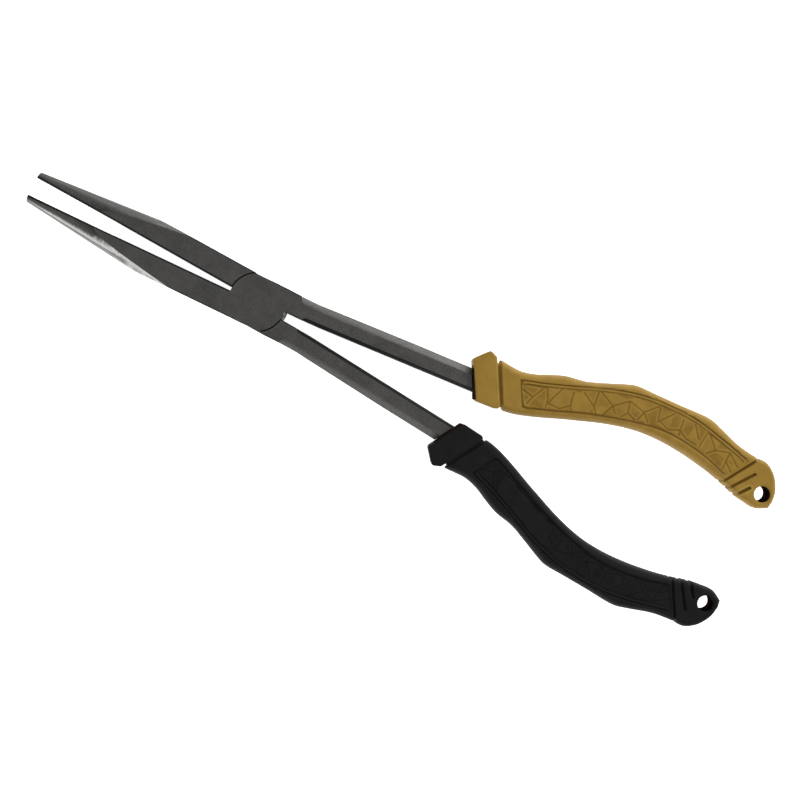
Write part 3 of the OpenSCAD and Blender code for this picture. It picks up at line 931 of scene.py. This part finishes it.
def core_material():
    """Hard dark moulding with a faint warm cast."""
    material, tree, shader = shader_of("core_plastic")
    place = tree.nodes.new("ShaderNodeTexCoord").outputs["Object"]
    cloud = noise(tree, place, 500, 3)
    colour = blend_colour(tree, spread(tree, cloud, 0.3, 0.7, 0, 1), (0.014, 0.008, 0.006),
                          (0.024, 0.014, 0.010))
    tree.links.new(colour, shader.inputs["Base Color"])
    tree.links.new(spread(tree, cloud, 0.3, 0.7, 0.5, 0.65), shader.inputs["Roughness"])
    shader.inputs["Specular IOR Level"].default_value = 0.0
    bump(tree, shader, noise(tree, place, 3800, 2), 0.2, 0.00004)
    return material


def assign(name, material):
    slots = frame["nodes"][name].data.materials
    slots.clear()
    slots.append(material)


# ---------------------------------------------------------------- stage
def build_camera():
    """The camera: straight above the tangs, with the pliers turned in the frame."""
    height, roll = 0.45, math.radians(27.37)
    target = Vector((-0.0594, 0.0073, MID_Z * MM))
    eye = target + Vector((0, 0, height))
    ahead = (target - eye).normalized()
    right = ahead.cross(Vector((0, -1, 0))).normalized()
    up = right.cross(ahead)
    turned_right = right * math.cos(roll) + up * math.sin(roll)
    turned_up = up * math.cos(roll) - right * math.sin(roll)
    axes = Matrix((turned_right, turned_up, -ahead)).transposed()
    data = bpy.data.cameras.new("camera")
    data.sensor_width, data.lens = 36, 57.9
    data.clip_start, data.clip_end = 0.01, 50
    camera = bpy.data.objects.new("camera", data)
    camera.matrix_world = Matrix.Translation(eye) @ axes.to_4x4()
    bpy.context.scene.collection.objects.link(camera)
    bpy.context.scene.camera = camera


def area_light(name, at, aim, size, power):
    data = bpy.data.lights.new(name, "AREA")
    data.shape = "RECTANGLE"
    data.size, data.size_y = size
    data.energy = power
    lamp = bpy.data.objects.new(name, data)
    lamp.location = at
    lamp.rotation_mode = "QUATERNION"
    lamp.rotation_quaternion = (Vector(aim) - Vector(at)).to_track_quat("-Z", "Y")
    bpy.context.scene.collection.objects.link(lamp)
    return lamp


def build_stage():
    """A white floor just under the collars, a surround that is brighter near the floor, and soft boxes."""
    world = bpy.data.worlds.new("surround")
    world.use_nodes = True
    tree = world.node_tree
    split = tree.nodes.new("ShaderNodeSeparateXYZ")
    tree.links.new(tree.nodes.new("ShaderNodeTexCoord").outputs["Generated"], split.inputs[0])
    glow = spread(tree, split.outputs[2], 0.08, 0.4, 1.25, 0.42)
    tree.nodes["Background"].inputs["Color"].default_value = (1, 1, 1, 1)
    tree.links.new(glow, tree.nodes["Background"].inputs["Strength"])
    bpy.context.scene.world = world
    bpy.context.scene.view_settings.view_transform = "Standard"

    gap, radius, count = 0.0002, 6.0, 24
    floor_z = cad_box[0].z - gap
    turns = [2 * math.pi * k / count for k in range(count)]
    rim = [(radius * math.cos(turn), radius * math.sin(turn), floor_z) for turn in turns]
    floor = make_object("floor", mesh_of("floor", rim, [tuple(range(count))]))
    material, tree, shader = shader_of("floor_white")
    place = tree.nodes.new("ShaderNodeTexCoord").outputs["Object"]
    tree.links.new(blend_colour(tree, noise(tree, place, 3, 2), (0.92, 0.92, 0.92), (0.94, 0.94, 0.94)),
                   shader.inputs["Base Color"])
    shader.inputs["Roughness"].default_value = 0.9
    shader.inputs["Specular IOR Level"].default_value = 0.1
    shader.inputs["Emission Color"].default_value = (1, 1, 1, 1)
    shader.inputs["Emission Strength"].default_value = 0.9
    floor.data.materials.append(material)

    middle = (cad_box[0] + cad_box[1]) / 2
    area_light("key", middle + Vector((-0.6, -1.0, 0.7)), middle, (1.2, 0.5), 15)
    fill = area_light("fill", middle + Vector((0.1, 1.0, 0.6)), middle, (1.2, 0.8), 7)
    fill.visible_glossy = False


# ---------------------------------------------------------------- the pliers
skins = {
    "gold_skin": skin_material("gold_skin", low=(0.250, 0.151, 0.0275), high=(0.284, 0.172, 0.0330),
                               groove_shade_colour=(0.066, 0.029, 0.0), ridge_highlight_colour=(0.42, 0.29, 0.075),
                               rough=0.5, specular=0.08),
    "black_skin": skin_material("black_skin", low=(0.0102, 0.0100, 0.0102), high=(0.0124, 0.0120, 0.0124),
                                groove_shade_colour=(0.0045, 0.0045, 0.0045), ridge_highlight_colour=(0.0145, 0.014, 0.0145),
                                rough=0.55, specular=0.03),
}
# Both levers are the same steel: the front one's flanks get a bright painted reflection, the rear one's
# painted shade
steels = {"front": steel_material("front_steel_painted_lit", side=1, bare=1.0),
          "rear": steel_material("rear_steel_painted_shade", side=-1, bare=0.05, flank_shade_amount=0.75)}

build_camera()
build_stage()
for side_name in ("front", "rear"):
    build_lever(side_name, steels[side_name])
    assign(f"{side_name}_grip_core", core_material())
assign("pivot_rivet", steel_material("rivet_steel", side=0, bare=0.0))
build_collars(skins)
build_grips(skins)
